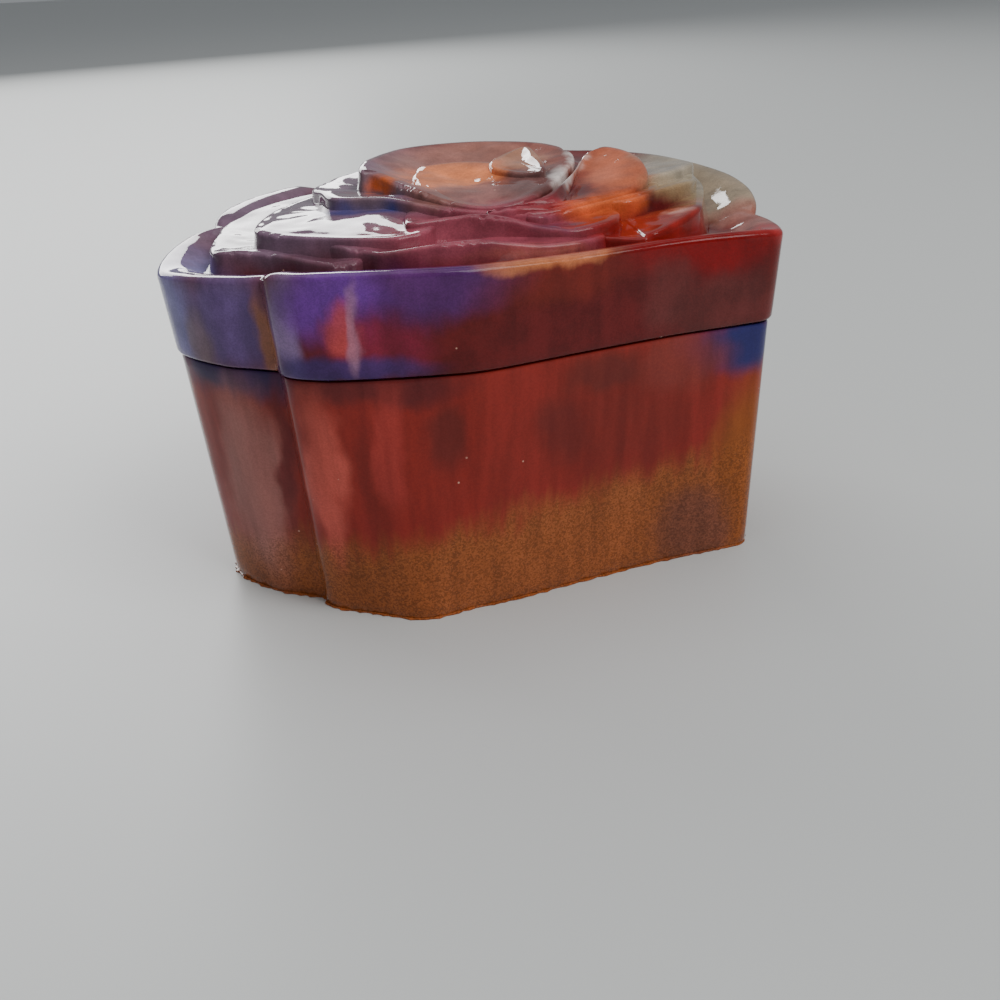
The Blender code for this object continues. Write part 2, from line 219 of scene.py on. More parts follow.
def add_loft(body, rings, start=None, end=None):
    """Add a skin through rings of equal count; start and end close it with fans."""
    loops = [[body.verts.new(p * MM) for p in points] for points in rings]
    count = len(loops[0])
    for low, high in zip(loops, loops[1:]):
        for i in range(count):
            j = (i + 1) % count
            body.faces.new((low[i], low[j], high[j], high[i]))
    if start is not None:
        tip = body.verts.new(start * MM)
        for i in range(count):
            body.faces.new((loops[0][(i + 1) % count], loops[0][i], tip))
    if end is not None:
        tip = body.verts.new(end * MM)
        for i in range(count):
            body.faces.new((loops[-1][i], loops[-1][(i + 1) % count], tip))


def finish_mesh(body, name):
    """Turn the bmesh into a smooth-shaded object in the scene."""
    mesh = bpy.data.meshes.new(name)
    body.to_mesh(mesh)
    body.free()
    mesh.shade_smooth()
    mesh.set_sharp_from_angle(angle=math.radians(CREASE_ANGLE))
    made = bpy.data.objects.new(name, mesh)
    bpy.context.scene.collection.objects.link(made)
    return made


# ---------------------------------------------------------------- lid

RIM_ROUND = 1.0             # rounding of the lid's rim
PETAL_ROUND = 0.6           # rounding of a petal's rim
ARC_STEPS = 4               # straight pieces in either rounding

EDGE_BAND = 1.0             # width of the level band inside a petal's rim
EDGE_BAND_MOST = 0.3        # and the most of the way to the middle that it may take
# rings of a petal's top: share of the way from its rim to its middle
TOP_SHARES = (0.02, 0.04, 0.06, 0.08, 0.10, 0.13, 0.17, 0.22, 0.28, 0.35, 0.45, 0.57, 0.7, 0.85)
STEEP_PETALS = ("bud", "bud_heart")
STEEP_BOWL = 1.2            # these fall away almost evenly, like a cone
ROUND_BOWL = 2.0            # the others flatten out toward the middle

# waves in the petals' tops: height, and waves per mm
SLOW_WAVE = (0.30, 0.13)
QUICK_WAVE = (0.16, 0.34)
WAVE_START = 0.1            # share of the way to the middle over which the waves grow

CEILING_INSET = 0.02        # plan scale that the recess's upper corner takes off
# from that corner down the inside and round the skirt's lower edge: plan scale, height above the edge
SKIRT_RINGS = ((RECESS_SCALE, RECESS_DEPTH - 0.8), (RECESS_SCALE, 0.3), (RECESS_SCALE + 0.006, 0.0),
               (0.990, 0.0), (0.996, 0.15), (1.0, 0.55))
SKIRT_SHARES = (0.1, 0.3, 0.5, 0.7, 0.85)   # rings of the skirt's outer face
# the shelf inside the rim: share of the way to the middle, drop below the straight line to it
SHELF = ((0.015, 0.0), (0.03, 0.03), (0.045, 0.1), (0.08, 0.8), (0.11, 1.6), (0.14, 2.0),
         (0.25, 1.8), (0.4, 1.0), (0.6, 0.4))

# broken places along the petals' rims
CHIP_SPACING = 0.11         # places per mm
CHIP_LAYER = 3.0            # the level of the noise that places them
CHIP_JAG = 1.1              # teeth per mm
JAG_LAYER = 8.0             # the level of the noise that cuts the teeth
CHIP_SHARE = 0.36           # a higher value leaves fewer broken places
CHIP_RISE = 4.0             # how quickly a broken place deepens
CHIP_DEPTH = 0.8

# a petal's wall below its rim: how far it stands out, and how far below the rim
PETAL_WALL = ((0.8, 5.0), (0.5, 3.8), (0.25, 2.7), (0.1, 1.7), (0.03, 1.0))


def arc(radius):
    """Quarter round from an upright wall onto a level top: (inward, below) pairs."""
    turns = [math.pi / 2 * k / ARC_STEPS for k in range(ARC_STEPS + 1)]
    return [(radius * (1 - math.cos(a)), radius * (1 - math.sin(a))) for a in turns]


def chip(p):
    """How far a petal's rim is broken down at this point; most of the rim is whole."""
    patch = noise.noise(Vector((p.x, p.y, CHIP_LAYER)) * CHIP_SPACING)
    if patch <= CHIP_SHARE:
        return 0.0
    jag = abs(noise.noise(Vector((p.x, p.y, JAG_LAYER)) * CHIP_JAG))
    return CHIP_DEPTH * min(1.0, patch * CHIP_RISE) * jag


def wave(q):
    """Height of the slow unevenness of a petal's top at this point."""
    return sum(height * noise.noise(q * spacing) for height, spacing in (SLOW_WAVE, QUICK_WAVE))


def petal_top(edge, middle, bowl):
    """Rings that carry a petal's top from its level edge band down to its middle."""
    rings = []
    for share in TOP_SHARES:
        ring = []
        for p in edge:
            q = p.lerp(middle, share)
            band = min(EDGE_BAND_MOST, EDGE_BAND / (p - middle).length)
            past = max(0.0, share - band)
            sink = 1.0 - (1.0 - past / (1.0 - band)) ** bowl
            ripple = wave(q) * min(1.0, past / WAVE_START)
            ring.append(Vector((q.x, q.y, p.z + (middle.z - p.z) * sink + ripple)))
        rings.append(ring)
    return rings


def add_petal(body, name, middle, points):
    """One petal: a wall that flares at its foot, a rounded rim and a dished top."""
    rim = [Vector((p.x, p.y, p.z * PETAL_SHRINK)) for p in spline(points, PETAL_STEPS, closed=True)]
    into = inward(rim)
    middle = Vector(middle)
    rings = []
    for out, below in PETAL_WALL:
        rings.append([p - n * out - Vector((0, 0, below)) for p, n in zip(rim, into)])
    for inside, below in arc(PETAL_ROUND):
        rings.append([p + n * inside - Vector((0, 0, below + chip(p))) for p, n in zip(rim, into)])
    edge = [p + n * PETAL_ROUND for p, n in zip(rim, into)]
    rings += petal_top(edge, middle, STEEP_BOWL if name in STEEP_PETALS else ROUND_BOWL)
    rings = [[p + Vector((0, 0, PARTING)) for p in ring] for ring in rings]
    add_loft(body, rings, end=middle + Vector((0, 0, PARTING)))


def make_lid(points):
    """The lift-off lid: hollow skirt, rounded rim, outer petals and the petals of the rose."""
    into = inward(points)
    body = bmesh.new()
    ceiling = LID_BOTTOM + RECESS_DEPTH
    rings = [level(points, RECESS_SCALE - CEILING_INSET, ceiling)]
    for scale, above in SKIRT_RINGS:
        rings.append(level(points, scale, LID_BOTTOM + above))
    wall_foot = rings[-1]
    rim = [Vector((p.x * LID_FLARE, p.y * LID_FLARE, PARTING + p.z)) for p in points]
    wall_top = [p - Vector((0, 0, RIM_ROUND)) for p in rim]
    for share in SKIRT_SHARES:
        rings.append(between(wall_foot, wall_top, share))
    for inside, below in arc(RIM_ROUND):
        rings.append([p + n * inside - Vector((0, 0, below)) for p, n in zip(rim, into)])
    edge = rings[-1]
    middle = Vector((0, 0, PARTING + TOP_MIDDLE))
    for share, drop in SHELF:
        ring = []
        for p in edge:
            q = p.lerp(middle, share)
            ring.append(Vector((q.x, q.y, q.z - drop)))
        rings.append(ring)
    add_loft(body, rings, start=Vector((0, 0, ceiling)), end=middle)
    for name, petal_middle, rim_points in PETALS:
        add_petal(body, name, petal_middle, rim_points)
    return finish_mesh(body, "rose_lid_cast")


# ---------------------------------------------------------------- base

FLASH_REACH = 0.55          # how far the thin flash at the foot stands out at most
FLASH_TEETH = 0.9           # its ragged teeth per mm
FLASH_USUAL = 0.35          # how much of that reach it usually has
FLASH_TORN = 1.3            # how strongly the teeth change it
# rings of the flash: height, and share of its reach
FLASH_RINGS = ((0.0, 0.7), (0.08, 1.0), (0.22, 0.8))
FOOT_INSET = 0.985          # plan scale of the flat that the base stands on
ABOVE_FLASH = (0.998, 0.32)     # plan scale and height where the wall starts
# rings of the wall: share of the way from the foot to its top
WALL_SHARES = (0.014, 0.05, 0.15, 0.3, 0.45, 0.6, 0.75, 0.88, 0.96, 0.99)
# the rim and the lip, from the outside over to the cavity: plan scale, height above the wall's top
RIM_RINGS = ((BASE_TOP_SCALE - 0.003, -0.1), (BASE_TOP_SCALE - 0.010, 0.0), (LIP_SCALE + 0.004, 0.0),
             (LIP_SCALE, 0.3), (LIP_SCALE, LIP_HEIGHT - 0.4), (LIP_SCALE - 0.006, LIP_HEIGHT),
             (CAVITY_SCALE + 0.006, LIP_HEIGHT), (CAVITY_SCALE, LIP_HEIGHT - 0.4))
CAVITY_SHARES = (0.25, 0.5, 0.75, 0.93)
# the rounded corner at the cavity's floor: what it takes off the plan scale, height above the floor
CAVITY_CORNER = ((0.01, 0.5), (0.03, 0.0))


def flash(points, height, share):
    """A ring of the flash: resin that crept out under the mould, torn to a ragged edge."""
    foot = foot_level(points, 1.0, height)
    placed = []
    for p, n in zip(foot, inward(foot)):
        torn = FLASH_USUAL + FLASH_TORN * noise.noise(Vector((p.x, p.y, 0.0)) * FLASH_TEETH)
        torn = max(0.0, torn)
        placed.append(p - n * FLASH_REACH * min(1.0, torn) * share)
    return placed


def make_base(points):
    """The tapered open base with its flash line, its locating lip and its cavity."""
    body = bmesh.new()
    top = level(points, BASE_TOP_SCALE, BASE_TOP)
    foot = foot_level(points, 1.0, 0.0)
    rings = [foot_level(points, FOOT_INSET, 0.0)]
    for height, share in FLASH_RINGS:
        rings.append(flash(points, height, share))
    rings.append(foot_level(points, *ABOVE_FLASH))
    for share in WALL_SHARES:
        rings.append(between(foot, top, share))
    for scale, above in RIM_RINGS:
        rings.append(level(points, scale, BASE_TOP + above))
    mouth = rings[-1]
    bottom = foot_level(points, CAVITY_FLOOR_SCALE, FLOOR)
    for share in CAVITY_SHARES:
        rings.append(between(mouth, bottom, share))
    for inset, above in CAVITY_CORNER:
        rings.append(foot_level(points, CAVITY_FLOOR_SCALE - inset, FLOOR + above))
    add_loft(body, rings, start=Vector((0, 0, 0)), end=Vector((0, 0, FLOOR)))
    return finish_mesh(body, "rose_base_cast")


# ---------------------------------------------------------------- materials

# Clouds of pigment in the lid's resin, some of them painted reflections: middle, half sizes (both in mm),
# colour, strength.
# A later cloud lies over the earlier ones.
LID_BODY = (0.115, 0.010, 0.010)
LID_CLOUDS_AND_PAINTED_REFLECTIONS = [
    # the skirt, from its left end to its right
    ((-47.0, -24.0, 48.0), (9.0, 14.0, 11.0), (0.17, 0.155, 0.36), 0.95),
    ((-36.5, -40.0, 49.0), (7.0, 7.0, 9.0), (0.13, 0.08, 0.23), 0.90),
    ((-42.0, -34.5, 45.0), (3.0, 4.0, 4.0), (0.20, 0.13, 0.13), 0.60),
    ((-30.8, -42.4, 46.0), (1.6, 5.0, 6.5), (0.36, 0.14, 0.06), 0.80),
    ((-26.8, -45.5, 49.0), (2.6, 5.0, 10.0), (0.25, 0.16, 0.33), 0.90),
    ((-10.0, -48.0, 54.5), (17.0, 7.0, 5.0), (0.085, 0.022, 0.13), 0.90),
    ((-20.0, -48.5, 52.5), (7.0, 6.0, 5.5), (0.14, 0.035, 0.27), 0.95),
    ((-14.0, -48.5, 46.5), (8.0, 6.0, 5.0), (0.19, 0.014, 0.035), 0.90),
    ((-18.6, -49.0, 48.6), (2.6, 5.0, 3.4), (0.52, 0.070, 0.060), 0.70),
    ((-20.0, -47.5, 42.2), (13.0, 7.0, 2.4), (0.045, 0.025, 0.13), 0.85),
    # painted reflection: the upright pale streak on the skirt's left part
    ((-16.8, -48.8, 48.0), (0.9, 4.0, 6.5), (0.36, 0.18, 0.26), 0.60),
    ((14.0, -43.0, 53.0), (14.0, 8.0, 3.4), (0.17, 0.020, 0.010), 0.50),
    ((13.0, -43.0, 56.4), (12.0, 8.0, 1.6), (0.60, 0.20, 0.07), 0.75),
    ((38.0, -31.0, 55.0), (15.0, 9.0, 4.5), (0.20, 0.003, 0.004), 0.90),
    # painted reflection of the table: the faint pale mauve patch on the skirt's right
    ((29.5, -33.5, 48.0), (4.0, 6.0, 5.5), (0.120, 0.026, 0.024), 0.75),
    ((39.0, -29.0, 44.5), (11.0, 9.0, 5.0), (0.115, 0.026, 0.024), 0.75),
    ((48.0, -12.0, 49.0), (5.0, 14.0, 8.0), (0.22, 0.020, 0.012), 0.80),
    # the sides and the back
    ((-44.0, 8.0, 50.0), (9.0, 13.0, 9.0), (0.060, 0.030, 0.14), 0.85),
    ((-28.0, 36.0, 49.0), (12.0, 10.0, 9.0), (0.20, 0.025, 0.040), 0.80),
    ((2.0, 48.0, 50.0), (16.0, 9.0, 8.0), (0.070, 0.020, 0.10), 0.80),
    ((34.0, 36.0, 50.0), (15.0, 14.0, 9.0), (0.34, 0.15, 0.05), 0.75),
    ((47.0, 8.0, 49.0), (6.0, 12.0, 8.0), (0.26, 0.07, 0.03), 0.75),
    # the rose, left to right
    ((-32.0, -4.0, 61.0), (30.0, 46.0, 8.0), (0.17, 0.105, 0.155), 0.95),
    ((4.0, -32.0, 60.0), (19.0, 13.0, 5.5), (0.28, 0.060, 0.085), 0.90),
    ((-15.5, -14.5, 60.6), (8.5, 4.2, 2.0), (0.05, 0.055, 0.20), 0.95),
    ((14.0, -30.5, 59.2), (4.0, 4.0, 1.6), (0.05, 0.02, 0.06), 0.70),
    ((-17.0, -10.0, 62.5), (5.5, 7.0, 3.0), (0.18, 0.11, 0.12), 0.85),
    ((-14.6, -7.6, 62.2), (3.0, 3.5, 1.6), (0.60, 0.11, 0.02), 0.95),
    ((-6.0, -15.0, 61.8), (5.0, 6.0, 2.6), (0.24, 0.10, 0.08), 0.80),
    ((0.0, 8.0, 64.0), (17.0, 16.0, 3.0), (0.36, 0.15, 0.11), 0.75),
    ((-3.0, -3.0, 62.8), (9.0, 9.0, 2.4), (0.80, 0.23, 0.08), 0.90),
    ((1.0, -14.0, 61.6), (9.0, 7.0, 1.8), (0.30, 0.12, 0.10), 0.80),
    ((10.5, -9.0, 62.0), (5.0, 9.0, 2.6), (0.15, 0.075, 0.070), 0.85),
    ((9.0, 3.0, 64.6), (5.0, 8.0, 1.8), (0.42, 0.19, 0.11), 0.80),
    # painted reflection: the pale edge between the bud and the fold at its right
    ((15.6, -9.0, 62.6), (2.0, 6.0, 2.0), (0.75, 0.66, 0.62), 0.85),
    ((18.6, 1.0, 64.0), (2.0, 7.0, 2.0), (0.80, 0.74, 0.70), 0.85),
    ((25.0, -6.0, 64.0), (7.0, 15.0, 4.0), (0.50, 0.13, 0.06), 0.90),
    ((17.0, -24.0, 61.2), (8.0, 4.0, 1.8), (0.26, 0.018, 0.020), 0.85),
    # painted reflection: a pale facet on a low petal at the right
    ((21.6, -21.4, 62.6), (2.6, 3.0, 1.1), (0.62, 0.38, 0.38), 0.70),
    ((25.0, -21.5, 59.6), (9.0, 6.0, 2.6), (0.62, 0.12, 0.035), 0.90),
    ((29.0, -27.0, 57.8), (11.0, 8.0, 2.8), (0.24, 0.014, 0.010), 0.90),
    ((37.0, -10.0, 60.6), (8.0, 9.0, 2.8), (0.36, 0.24, 0.12), 0.80),
    # painted reflection: another pale facet on a low petal at the right
    ((32.5, -20.5, 59.4), (3.0, 3.0, 1.2), (0.60, 0.33, 0.28), 0.60),
    ((37.0, 6.0, 62.0), (9.0, 16.0, 3.5), (0.40, 0.36, 0.28), 0.75),
    ((44.0, 10.0, 58.0), (9.0, 30.0, 4.5), (0.32, 0.27, 0.18), 0.75),
    ((43.0, -14.0, 56.2), (8.0, 8.0, 2.6), (0.34, 0.13, 0.11), 0.80),
    ((46.0, -24.0, 55.8), (8.0, 5.0, 2.0), (0.30, 0.025, 0.025), 0.85),
]
BASE_BODY = (0.245, 0.022, 0.015)
# Clouds of pigment in the base's resin, some of them painted light and painted shade: middle, half sizes
# (both in mm), colour, strength.
BASE_CLOUDS_AND_PAINTED_LIGHT = [
    ((-38.0, -36.0, 40.0), (12.0, 13.0, 4.2), (0.022, 0.014, 0.075), 0.95),
    ((-14.0, -46.0, 39.5), (12.0, 8.0, 3.0), (0.090, 0.014, 0.016), 0.80),
    ((45.0, -26.0, 38.0), (11.0, 10.0, 5.0), (0.012, 0.022, 0.12), 0.95),
    ((-5.0, -46.0, 31.0), (3.2, 6.0, 5.5), (0.080, 0.016, 0.014), 0.60),
    ((13.0, -40.0, 29.5), (3.6, 6.0, 5.5), (0.090, 0.016, 0.014), 0.55),
    # painted shade: the base's right front darkened as if the light came from the left
    ((24.0, -35.0, 28.0), (13.0, 9.0, 9.0), (0.17, 0.018, 0.013), 0.75),
    ((20.0, -37.0, 37.0), (6.0, 6.0, 3.0), (0.085, 0.018, 0.014), 0.60),
    ((33.0, -31.0, 36.0), (8.0, 7.0, 4.5), (0.20, 0.034, 0.026), 0.75),
    # the left lobe's red pigment, lightened by painted window light and a painted grey-violet sheen
    ((-37.0, -36.0, 20.0), (6.0, 10.0, 17.0), (0.36, 0.15, 0.13), 0.80),
    ((-31.0, -40.5, 20.0), (1.6, 5.0, 18.0), (0.13, 0.010, 0.012), 0.80),
    # painted light: a lighter red where window light falls on the base's left front
    ((-24.0, -43.5, 24.0), (3.4, 5.0, 15.0), (0.56, 0.10, 0.075), 0.80),
    ((-17.5, -45.5, 26.0), (1.3, 5.0, 12.0), (0.22, 0.020, 0.016), 0.55),
    ((-13.5, -46.5, 30.0), (2.6, 5.0, 9.0), (0.42, 0.050, 0.040), 0.60),
    ((45.0, -23.0, 17.0), (6.5, 12.0, 14.0), (0.28, 0.075, 0.014), 0.90),
    ((35.5, -26.0, 6.0), (6.5, 9.0, 6.5), (0.13, 0.045, 0.036), 0.60),
    # the sides and the back
    ((-44.0, 4.0, 30.0), (10.0, 15.0, 11.0), (0.045, 0.020, 0.09), 0.80),
    ((-26.0, 36.0, 30.0), (12.0, 12.0, 10.0), (0.12, 0.016, 0.022), 0.80),
    ((6.0, 47.0, 33.0), (16.0, 10.0, 9.0), (0.030, 0.022, 0.10), 0.80),
    ((36.0, 33.0, 28.0), (13.0, 14.0, 12.0), (0.36, 0.075, 0.020), 0.70),
    ((47.0, 6.0, 33.0), (6.0, 13.0, 8.0), (0.16, 0.020, 0.014), 0.80),
]
# bronze mica has settled towards the foot; its upper edge climbs to the right
BRONZE = (0.27, 0.075, 0.022)
BRONZE_TOP = 15.0           # height of that edge at the middle of the box
BRONZE_SLOPE = 0.13         # its climb per mm to the right
BRONZE_BLUR = 3.5           # how soft it is, to each side

CLOUD_EDGE = 0.45           # how far a cloud's soft edge reaches to each side, in half sizes
COAT = 1.0                  # the polished skin over the pigment
COAT_ROUGHNESS = 0.045
COAT_IOR = 1.3

# warps that pull the clouds out of round: size, reach, squeeze on each axis
SLOW_WARP = (9.0, 5.0, (1.0, 1.0, 1.0))
QUICK_WARP = (2.4, 2.0, (1.0, 1.0, 0.4))
BASE_SLOW_WARP = (9.0, 6.0, (1.0, 1.0, 1.0))
BASE_QUICK_WARP = (2.4, 2.4, (1.0, 1.0, 0.35))
DRIP_WARP = (1.6, 7.0, (1.0, 1.0, 0.12))    # the bronze's edge runs up and down in drips

STREAK_SIZE = 2.6           # width of the upright streaks
STREAK_SQUEEZE = (1.0, 1.0, 0.10)
STREAK_RANGE = (0.30, 0.70)     # noise values that give the darkest and the brightest streak
LID_STREAK = 0.09           # how much a streak changes the brightness
BASE_STREAK = 0.14

# mica flakes: size, and how much they differ in brightness
LID_FLAKES = (0.20, 0.10)
BASE_FLAKES = (0.20, 0.08)
BRONZE_FLAKES = (0.24, 0.30)

# slow light and dark in the lid's resin: size, and noise values with the brightness they give
SMOKE_SIZE = 6.0
SMOKE_RANGE = (0.35, 0.65, 0.84, 1.16)

SPECK_SPACING = 3.0         # distance between places where a speck can be
SPECK_SIZE = 0.07           # a speck's radius, as a share of the spacing
SPECK_CORE = 0.5            # share of that radius that is solid colour
SPECK_SHARE = 0.15          # share of those places that have one
SPECK_FADE = 0.01           # share of those places whose speck is fainter
SPECK_COLOUR = (0.62, 0.36, 0.27)

WEAR_SIZE = 1.2             # uneven gloss: size, and noise values with the roughness they give
LID_WEAR = (0.35, 0.70, 0.24, 0.42)
BASE_WEAR = (0.35, 0.70, 0.26, 0.46)

RIPPLE_SIZE = 9.0           # the casting's slow ripple, and its height
RIPPLE_HEIGHT = 0.28
GRAIN_SIZE = 0.5            # fine grain in its gloss, and its height
GRAIN_HEIGHT = 0.004


class Nodes:
    """A resin material under construction. Positions in it are millimetres on the object."""

    def __init__(self, name):
        self.material = bpy.data.materials.new(name)
        self.material.use_nodes = True
        self.tree = self.material.node_tree
        self.shader = self.tree.nodes["Principled BSDF"]
        self.position = self.vector("MULTIPLY", self.add("ShaderNodeTexCoord").outputs["Object"],
                                    (1.0 / MM, 1.0 / MM, 1.0 / MM))

    def add(self, kind, **settings):
        made = self.tree.nodes.new(kind)
        for key, value in settings.items():
            setattr(made, key, value)
        return made

    def feed(self, socket, value):
        """Link another node's output into the socket, or set a constant on it."""
        if isinstance(value, bpy.types.NodeSocket):
            self.tree.links.new(value, socket)
        else:
            socket.default_value = value

    def math(self, operation, first, second=0.0):
        made = self.add("ShaderNodeMath", operation=operation)
        self.feed(made.inputs[0], first)
        self.feed(made.inputs[1], second)
        return made.outputs[0]

    def vector(self, operation, first, second=(0.0, 0.0, 0.0)):
        made = self.add("ShaderNodeVectorMath", operation=operation)
        self.feed(made.inputs[0], first)
        self.feed(made.inputs[1], second)
        return made.outputs["Value" if operation == "LENGTH" else "Vector"]

    def noise(self, position, size, detail=2.0, squeeze=(1.0, 1.0, 1.0)):
        """Noise whose features are about this many mm across, divided by squeeze on each axis."""
        share = [s / size for s in squeeze]
        made = self.add("ShaderNodeTexNoise")
        self.feed(made.inputs["Vector"], self.vector("MULTIPLY", position, share))
        made.inputs["Scale"].default_value = 1.0
        made.inputs["Detail"].default_value = detail
        return made

    def remap(self, value, low, high, to_low=0.0, to_high=1.0):
        """A smooth step from one pair of values to another."""
        made = self.add("ShaderNodeMapRange", interpolation_type="SMOOTHSTEP")
        for socket, given in zip(made.inputs, (value, low, high, to_low, to_high)):
            self.feed(socket, given)
        return made.outputs["Result"]

    def mix(self, share, first, second):
        made = self.add("ShaderNodeMix", data_type="RGBA")
        colours = [s for s in made.inputs if s.type == "RGBA"]
        self.feed(made.inputs[0], share)
        self.feed(colours[0], first)
        self.feed(colours[1], second)
        return next(s for s in made.outputs if s.type == "RGBA")

    def grey(self, value):
        """A colour with the same value in all three channels."""
        made = self.add("ShaderNodeCombineXYZ")
        for socket in made.inputs:
            self.feed(socket, value)
        return made.outputs[0]

    def warp(self, size, reach, squeeze):
        """A shift of up to about half the reach, in mm, that wanders from place to place."""
        wander = self.noise(self.position, size, squeeze=squeeze).outputs["Color"]
        centred = self.vector("SUBTRACT", wander, (0.5, 0.5, 0.5))
        return self.vector("MULTIPLY", centred, (reach, reach, reach))

    def clouds(self, colour, position, clouds):
        """Lay soft-edged clouds of pigment, painted light and painted reflections over the colour, one
        after another.
        """
        for middle, half, tint, strength in clouds:
            offset = self.vector("SUBTRACT", position, middle)
            away = self.vector("LENGTH", self.vector("MULTIPLY", offset, [1.0 / h for h in half]))
            share = self.remap(away, 1.0 + CLOUD_EDGE, 1.0 - CLOUD_EDGE, 0.0, strength)
            colour = self.mix(share, colour, (*tint, 1.0))
        return colour

    def finish(self, colour, roughness, height):
        """Glossy cast surface over the pigment, with a slow ripple."""
        self.feed(self.shader.inputs["Base Color"], colour)
        self.feed(self.shader.inputs["Roughness"], roughness)
        self.shader.inputs["Specular IOR Level"].default_value = 0.0
        self.shader.inputs["Coat Weight"].default_value = COAT
        self.shader.inputs["Coat IOR"].default_value = COAT_IOR
        self.shader.inputs["Coat Roughness"].default_value = COAT_ROUGHNESS
        bump = self.add("ShaderNodeBump")
        bump.inputs["Strength"].default_value = 1.0
        bump.inputs["Distance"].default_value = MM
        self.feed(bump.inputs["Height"], height)
        self.tree.links.new(bump.outputs["Normal"], self.shader.inputs["Normal"])
        self.tree.links.new(bump.outputs["Normal"], self.shader.inputs["Coat Normal"])
        return self.material


def streaks(nodes, amount):
    """Upright streaks, as pigment leaves when it sinks through setting resin."""
    upright = nodes.noise(nodes.position, STREAK_SIZE, detail=4.0, squeeze=STREAK_SQUEEZE)
    return nodes.remap(upright.outputs[0], *STREAK_RANGE, 1.0 - amount, 1.0 + amount)


def glitter(nodes, size, amount):
    """Mica flakes, each with its own brightness."""
    flakes = nodes.add("ShaderNodeTexVoronoi")
    flakes.inputs["Scale"].default_value = 1.0
    nodes.feed(flakes.inputs["Vector"], nodes.vector("MULTIPLY", nodes.position, [1.0 / size] * 3))
    shade = nodes.add("ShaderNodeSeparateColor")
    nodes.feed(shade.inputs[0], flakes.outputs["Color"])
    return nodes.remap(shade.outputs[0], 0.0, 1.0, 1.0 - amount, 1.0 + amount)


def specks(nodes, colour):
    """Scattered pale nicks and bubbles, each a fraction of a millimetre across."""
    spots = nodes.add("ShaderNodeTexVoronoi")
    spots.inputs["Scale"].default_value = 1.0
    nodes.feed(spots.inputs["Vector"], nodes.vector("MULTIPLY", nodes.position, [1.0 / SPECK_SPACING] * 3))
    pick = nodes.add("ShaderNodeSeparateColor")
    nodes.feed(pick.inputs[0], spots.outputs["Color"])
    dot = nodes.remap(spots.outputs["Distance"], SPECK_SIZE, SPECK_CORE * SPECK_SIZE)
    chosen = nodes.remap(pick.outputs[1], 1.0 - SPECK_SHARE, 1.0 - SPECK_SHARE + SPECK_FADE)
    return nodes.mix(nodes.math("MULTIPLY", dot, chosen), colour, (*SPECK_COLOUR, 1.0))


def scaled(nodes, colour, share):
    """The colour made brighter or darker by a number."""
    return nodes.vector("MULTIPLY", colour, nodes.grey(share))


def surface(nodes):
    """Height in mm: the slow ripple of a casting, and fine grain in its gloss."""
    ripple = nodes.noise(nodes.position, RIPPLE_SIZE, detail=1.0).outputs[0]
    grain = nodes.noise(nodes.position, GRAIN_SIZE, detail=3.0).outputs[0]
    return nodes.math("ADD", nodes.math("MULTIPLY", ripple, RIPPLE_HEIGHT),
                      nodes.math("MULTIPLY", grain, GRAIN_HEIGHT))


def lid_resin():
    """Maroon resin marbled with violet, slate blue, orange and clear amber, and a few painted reflections.
    """
    nodes = Nodes("lid_resin_marbled")
    place = nodes.vector("ADD", nodes.position, nodes.warp(*SLOW_WARP))
    place = nodes.vector("ADD", place, nodes.warp(*QUICK_WARP))
    colour = nodes.clouds((*LID_BODY, 1.0), place, LID_CLOUDS_AND_PAINTED_REFLECTIONS)
    tone = nodes.math("MULTIPLY", streaks(nodes, LID_STREAK), glitter(nodes, *LID_FLAKES))
    smoke = nodes.noise(nodes.position, SMOKE_SIZE, detail=5.0).outputs[0]
    tone = nodes.math("MULTIPLY", tone, nodes.remap(smoke, *SMOKE_RANGE))
    colour = specks(nodes, scaled(nodes, colour, tone))
    wear = nodes.noise(nodes.position, WEAR_SIZE, detail=4.0).outputs[0]
    return nodes.finish(colour, nodes.remap(wear, *LID_WEAR), surface(nodes))


def base_resin():
    """Red resin with smoky patches over bronze mica that has sunk to the foot, and painted light and shade
    on its front.
    """
    nodes = Nodes("base_resin_marbled")
    place = nodes.vector("ADD", nodes.position, nodes.warp(*BASE_SLOW_WARP))
    place = nodes.vector("ADD", place, nodes.warp(*BASE_QUICK_WARP))
    split = nodes.add("ShaderNodeSeparateXYZ")
    nodes.feed(split.inputs[0], nodes.vector("ADD", place, nodes.warp(*DRIP_WARP)))
    edge = nodes.math("ADD", nodes.math("MULTIPLY", split.outputs["X"], BRONZE_SLOPE), BRONZE_TOP)
    above = nodes.math("SUBTRACT", split.outputs["Z"], edge)
    sunk = nodes.remap(above, BRONZE_BLUR, -BRONZE_BLUR)
    body = nodes.mix(sunk, (*BASE_BODY, 1.0), (*BRONZE, 1.0))
    colour = nodes.clouds(body, place, BASE_CLOUDS_AND_PAINTED_LIGHT)
    flakes = nodes.mix(sunk, nodes.grey(glitter(nodes, *BASE_FLAKES)),
                       nodes.grey(glitter(nodes, *BRONZE_FLAKES)))
    colour = nodes.vector("MULTIPLY", colour, flakes)
    colour = specks(nodes, scaled(nodes, colour, streaks(nodes, BASE_STREAK)))
    wear = nodes.noise(nodes.position, WEAR_SIZE, detail=4.0).outputs[0]
    return nodes.finish(colour, nodes.remap(wear, *BASE_WEAR), surface(nodes))


# ---------------------------------------------------------------- staging

EYE_M = Vector((0.0041, -0.2451, 0.0998))
HEADING = math.radians(0.4)     # turn of the camera to the left of straight ahead
PITCH = math.radians(21.8)      # downward
ROLL = math.radians(3.0)        # the far edge rises to the right
LENS_MM = 50.4
SENSOR_MM = 36.0
NEAR_CLIP_M = 0.01

TABLE_HALF_M = 4.0
TABLE_GREY = (0.55, 0.56, 0.55)
TABLE_ROUGHNESS = 0.45

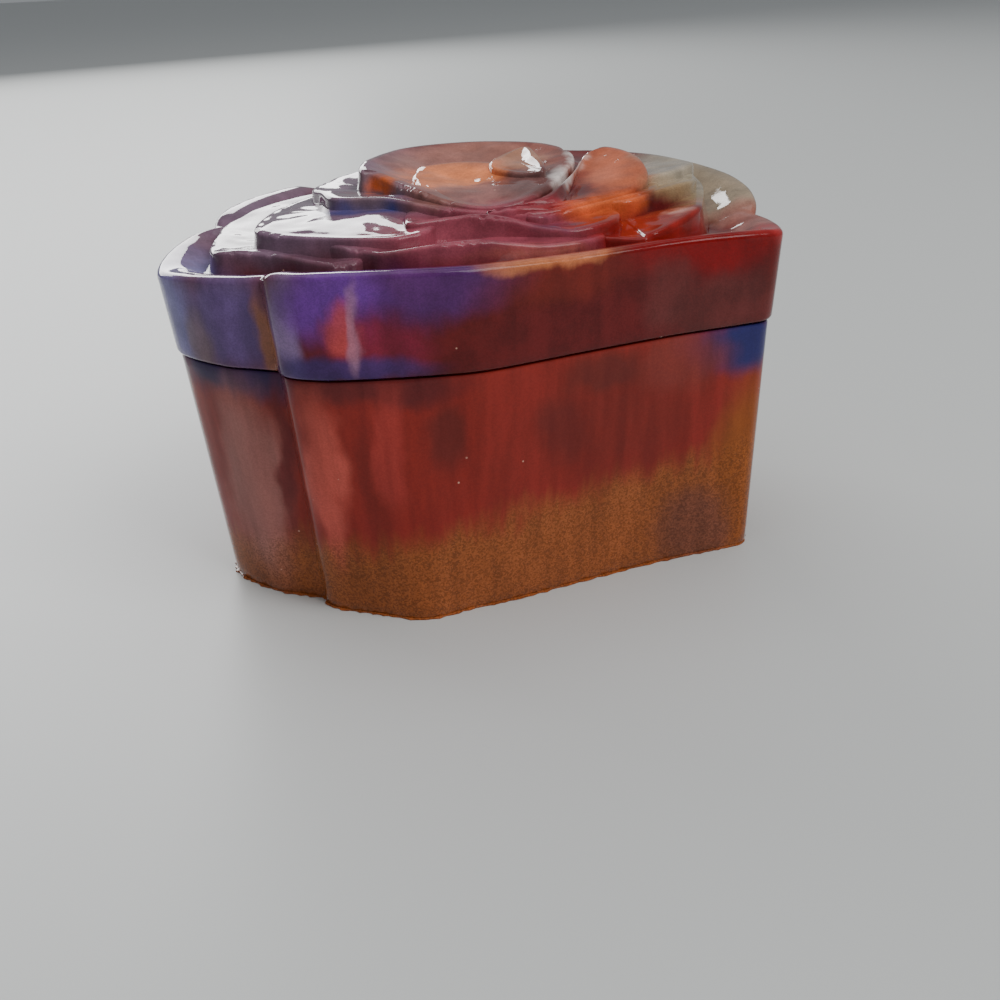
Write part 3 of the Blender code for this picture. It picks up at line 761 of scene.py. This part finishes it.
# lights: name, place, target and size in metres, power in watts
LIGHTS = [
    # a wide low window behind and to the left, which whitens the level faces there
    ("window", (-0.563, 0.996, 0.42), (0.0, 0.0, 0.055), (1.0, 0.40), 9.8),
    ("ceiling", (0.0, 0.0, 1.2), (0.0, 0.0, 0.0), (1.2, 1.2), 6.0),
    ("fill", (0.5, -0.5, 0.8), (0.0, 0.0, 0.03), (0.6, 0.6), 7.0),
]
ROOM_COLOUR = (0.80, 0.84, 0.88)
ROOM_STRENGTH = 0.32


def make_camera():
    """A hand-held close view from a little above the box."""
    ahead = Vector((-math.sin(HEADING) * math.cos(PITCH), math.cos(HEADING) * math.cos(PITCH),
                    -math.sin(PITCH)))
    right = Vector((math.cos(HEADING), math.sin(HEADING), 0.0))
    up = right.cross(ahead)
    tilted_right = math.cos(ROLL) * right - math.sin(ROLL) * up
    tilted_up = math.sin(ROLL) * right + math.cos(ROLL) * up
    turn = Matrix((tilted_right, tilted_up, -ahead)).transposed().to_4x4()
    data = bpy.data.cameras.new("camera")
    data.lens = LENS_MM
    data.sensor_width = SENSOR_MM
    data.clip_start = NEAR_CLIP_M
    camera = bpy.data.objects.new("camera", data)
    camera.matrix_world = Matrix.Translation(EYE_M) @ turn
    bpy.context.scene.collection.objects.link(camera)
    bpy.context.scene.camera = camera


def make_floor():
    """A plain pale table."""
    body = bmesh.new()
    bmesh.ops.create_grid(body, x_segments=1, y_segments=1, size=TABLE_HALF_M)
    floor = finish_mesh(body, "table")
    material = bpy.data.materials.new("pale_table")
    material.use_nodes = True
    shader = material.node_tree.nodes["Principled BSDF"]
    shader.inputs["Base Color"].default_value = (*TABLE_GREY, 1.0)
    shader.inputs["Roughness"].default_value = TABLE_ROUGHNESS
    floor.data.materials.append(material)


def area_light(name, spot, target, size, energy):
    """A soft rectangular light that faces its target."""
    data = bpy.data.lights.new(name, "AREA")
    data.shape = "RECTANGLE"
    data.size = size[0]
    data.size_y = size[1]
    data.energy = energy
    light = bpy.data.objects.new(name, data)
    light.location = spot
    light.rotation_euler = (Vector(target) - Vector(spot)).to_track_quat("-Z", "Y").to_euler()
    bpy.context.scene.collection.objects.link(light)


def make_lights():
    """The soft studio lights and the pale room around them."""
    for light in LIGHTS:
        area_light(*light)
    world = bpy.data.worlds.new("room")
    world.use_nodes = True
    background = world.node_tree.nodes["Background"]
    background.inputs["Color"].default_value = (*ROOM_COLOUR, 1.0)
    background.inputs["Strength"].default_value = ROOM_STRENGTH
    bpy.context.scene.world = world


def main():
    """Make both castings, tie them to their bodies, and set the stage."""
    points = outline()
    base = make_base(points)
    lid = make_lid(points)
    base.data.materials.append(base_resin())
    lid.data.materials.append(lid_resin())
    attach(base, "base")
    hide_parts("box_base")
    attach(lid, "lid")
    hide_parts("rose_lid")
    make_floor()
    make_camera()
    make_lights()


main()
